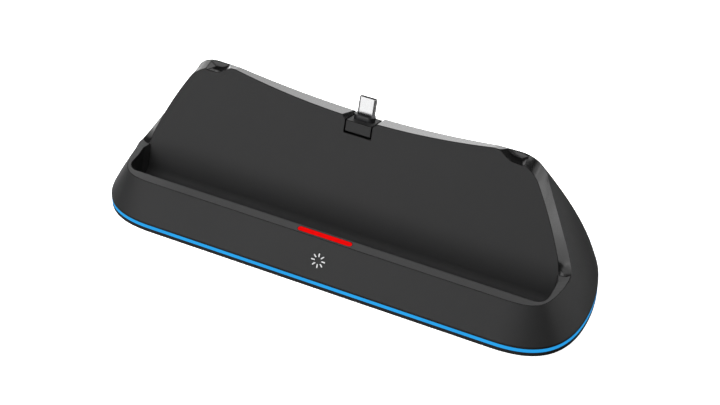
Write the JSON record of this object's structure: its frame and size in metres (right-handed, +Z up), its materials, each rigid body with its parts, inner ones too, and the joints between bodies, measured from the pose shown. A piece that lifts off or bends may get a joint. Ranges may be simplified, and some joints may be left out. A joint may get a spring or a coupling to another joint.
{
  "type": "handheld console charging dock",
  "caption": "Free-standing charging dock with a sloping front, a trough and leaning plate for a handheld console, a sprung plug, a glowing base line and a red indicator bar.",
  "frame": {"origin": "middle of the overall box, on the plane the feet stand on", "axes": "+X along the length, to the right seen from the front; +Y to the back; +Z up"},
  "size_m": [0.2308, 0.079, 0.0691],
  "materials": {
    "shell_black": "fine matte black moulding, a little glossier on the ledge and edge bands",
    "guide_blue": "clear blue light guide, glowing",
    "flex_amber": "amber flexible film",
    "led_white": "white LED packages",
    "lens_red": "red diffusing lens, glowing",
    "board_green": "green solder mask",
    "symbol_white": "white translucent inlay",
    "copper": "bare copper foil",
    "collar_black": "black moulding",
    "plug_steel": "drawn steel, nickel plated",
    "contact_gold": "gold plated",
    "screw_steel": "zinc plated steel",
    "ballast_steel": "plain pressed steel",
    "foot_rubber": "dull black rubber"
  },
  "bodies": {
    "dock": {"top_shell": "shell_black", "bottom_shell": "shell_black", "light_guide": "guide_blue", "led_flex": "flex_amber", "led_chips": "led_white", "indicator_lens": "lens_red", "indicator_board": "board_green", "indicator_leds": "led_white", "touch_symbol": "symbol_white", "touch_pad": "copper", "plug_cable": "flex_amber", "pivot_pin": "screw_steel", "return_spring": "screw_steel", "connector_bracket": "collar_black", "bracket_screws": "screw_steel", "main_board": "board_green", "board_chips": "collar_black", "inlet_shell": "plug_steel", "inlet_tongue": "collar_black", "board_screws": "screw_steel", "front_cable": "flex_amber", "ballast_plate": "ballast_steel", "ballast_screws": "screw_steel", "rubber_feet": "foot_rubber", "case_screws": "screw_steel"},
    "connector": {"connector_carrier": "shell_black", "plug_collar": "collar_black", "plug_shell": "plug_steel", "plug_insert": "collar_black", "plug_contacts": "contact_gold", "plug_board": "board_green"}
  },
  "joints": [
    {"name": "connector_tilt", "type": "hinge", "parent": "dock", "child": "connector", "pos_m": [0, 0.00521, 0.04416], "axis": [1, 0, 0], "range_deg": [0, 5], "stiffness_Nm_per_rad": 0.08, "springref_deg": -11.46, "deforming": ["plug_cable"]}
  ]
}
